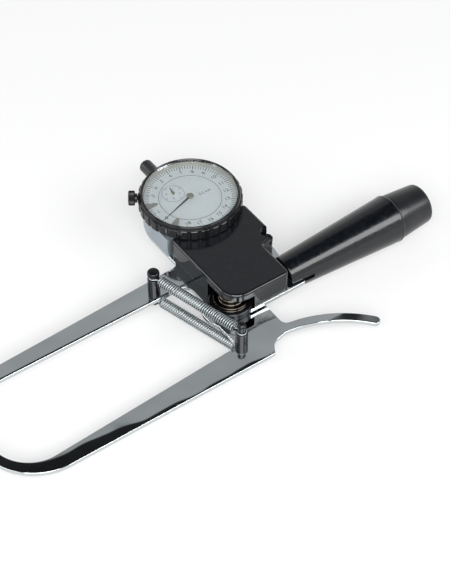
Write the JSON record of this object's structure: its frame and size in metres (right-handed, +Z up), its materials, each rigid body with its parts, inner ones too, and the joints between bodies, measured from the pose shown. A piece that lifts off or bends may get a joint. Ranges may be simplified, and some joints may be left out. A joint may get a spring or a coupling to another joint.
{
  "type": "skinfold caliper",
  "caption": "Skinfold caliper with chrome plate arms on a ball-bearing pivot, tension springs, a dial gauge, a finger lever and a black handle.",
  "frame": {"origin": "middle of the closed jaw faces, midway between the two arm plates", "axes": "+X from the jaws to the handle, +Y along the gauge spindle to its cap, +Z up out of the dial"},
  "size_m": [0.2866, 0.1604, 0.0369],
  "materials": {
    "chrome_plate": "mirror-bright chrome plate on steel",
    "black_enamel": "glossy black enamel",
    "black_handle": "polished black moulding",
    "black_metal": "black oxide, satin",
    "silver_case": "fine satin silver",
    "spring_wire": "bright zinc-plated wire",
    "steel": "ground steel",
    "brass": "turned brass",
    "dial_white": "matt white dial with black figures",
    "marker_tan": "painted tan tab",
    "clear_glass": "clear domed crystal"
  },
  "bodies": {
    "frame": {"frame_plate": "chrome_plate", "fixed_jaw": "steel", "pivot_boss": "black_metal", "bearing_outer_ring": "chrome_plate", "fixed_spring_post": "black_metal", "gauge_cradle": "silver_case", "stem_saddle": "steel", "housing_cover": "black_enamel", "cover_screws": "steel", "cover_side_screw": "chrome_plate", "handle_grip": "black_handle", "handle_end_cap": "black_metal", "handle_pins": "steel", "gauge_case": "silver_case", "gauge_back": "silver_case", "gauge_stem": "steel", "spindle_cap": "black_handle", "movement_plate": "brass", "dial_centre": "dial_white"},
    "arm": {"moving_arm": "chrome_plate", "moving_jaw": "steel", "moving_spring_post": "black_metal", "pivot_shaft": "black_metal", "bearing_inner_ring": "chrome_plate", "pivot_washer": "steel", "pivot_nut": "black_metal", "drive_pin": "steel"},
    "roller": {"drive_roller": "brass"},
    "ball_set": {"bearing_balls": "steel"},
    "plunger": {"spindle": "steel", "contact_tip": "steel"},
    "bezel_ring": {"bezel": "black_enamel", "crystal": "clear_glass", "dial_ring": "dial_white"},
    "short_tab": {"short_marker": "marker_tan"},
    "long_tab": {"long_marker": "marker_tan"},
    "clamp": {"bezel_screw": "black_metal"},
    "pointer": {"main_pointer": "black_metal", "main_arbor": "brass"},
    "counter": {"counter_pointer": "brass"},
    "spring_root": {"upper_spring": "spring_wire"},
    "spring_reach": {"lower_spring": "spring_wire"}
  },
  "joints": [
    {"name": "arm_pivot", "type": "hinge", "parent": "frame", "child": "arm", "pos_m": [0.1545, 0, 0], "axis": [0, 0, 1], "range_deg": [0, 30.01], "stiffness_Nm_per_rad": 0.6, "springref_deg": -131.78, "deforming": ["upper_spring", "lower_spring"]},
    {"name": "roller_turn", "type": "hinge", "parent": "arm", "child": "roller", "pos_m": [0.17102, -0.00443, 0.0098], "axis": [0, 0, 1], "continuous": true},
    {"name": "ball_orbit", "type": "hinge", "parent": "frame", "child": "ball_set", "pos_m": [0.1545, 0, 0.0016], "axis": [0, 0, 1], "range_deg": [0, 12.6]},
    {"name": "spindle_slide", "type": "slide", "parent": "frame", "child": "plunger", "axis": [0, 1, 0], "range_m": [0, 0.00895]},
    {"name": "pointer_turn", "type": "hinge", "parent": "frame", "child": "pointer", "pos_m": [0.1713, 0.0616, 0.021], "axis": [0, 0, 1], "range_deg": [-1441, 0]},
    {"name": "counter_turn", "type": "hinge", "parent": "frame", "child": "counter", "pos_m": [0.1653, 0.0693, 0.0204], "axis": [0, 0, 1], "range_deg": [-361, 0]},
    {"name": "spring_swing", "type": "hinge", "parent": "frame", "child": "spring_root", "pos_m": [0.1265, 0.0312, 0], "axis": [0, 0, 1], "range_deg": [0, 10.97]},
    {"name": "spring_stretch", "type": "slide", "parent": "spring_root", "child": "spring_reach", "axis": [0.2987, -0.9544, 0], "range_m": [0, 0.00721]},
    {"name": "bezel_turn", "type": "hinge", "parent": "frame", "child": "bezel_ring", "pos_m": [0.1713, 0.0616, 0.019], "axis": [0, 0, 1], "continuous": true},
    {"name": "short_marker_turn", "type": "hinge", "parent": "bezel_ring", "child": "short_tab", "pos_m": [0.1713, 0.0616, 0.0217], "axis": [0, 0, 1], "range_deg": [-140, 18]},
    {"name": "long_marker_turn", "type": "hinge", "parent": "bezel_ring", "child": "long_tab", "pos_m": [0.1713, 0.0616, 0.0217], "axis": [0, 0, 1], "range_deg": [-18, 140]},
    {"name": "clamp_turn", "type": "hinge", "parent": "bezel_ring", "child": "clamp", "pos_m": [0.1713, 0.0616, 0.0197], "axis": [-0.8192, 0.5736, 0], "range_deg": [-90, 90]}
  ],
  "couplings": [
    {"joint": "spindle_slide", "follows": "arm_pivot", "m_per_rad": 0.016905},
    {"joint": "pointer_turn", "follows": "arm_pivot", "ratio": -47.985},
    {"joint": "counter_turn", "follows": "arm_pivot", "ratio": -11.996},
    {"joint": "ball_orbit", "follows": "arm_pivot", "ratio": 0.414},
    {"joint": "spring_swing", "follows": "arm_pivot", "ratio": 0.36381},
    {"joint": "spring_stretch", "follows": "arm_pivot", "m_per_rad": 0.013731}
  ]
}
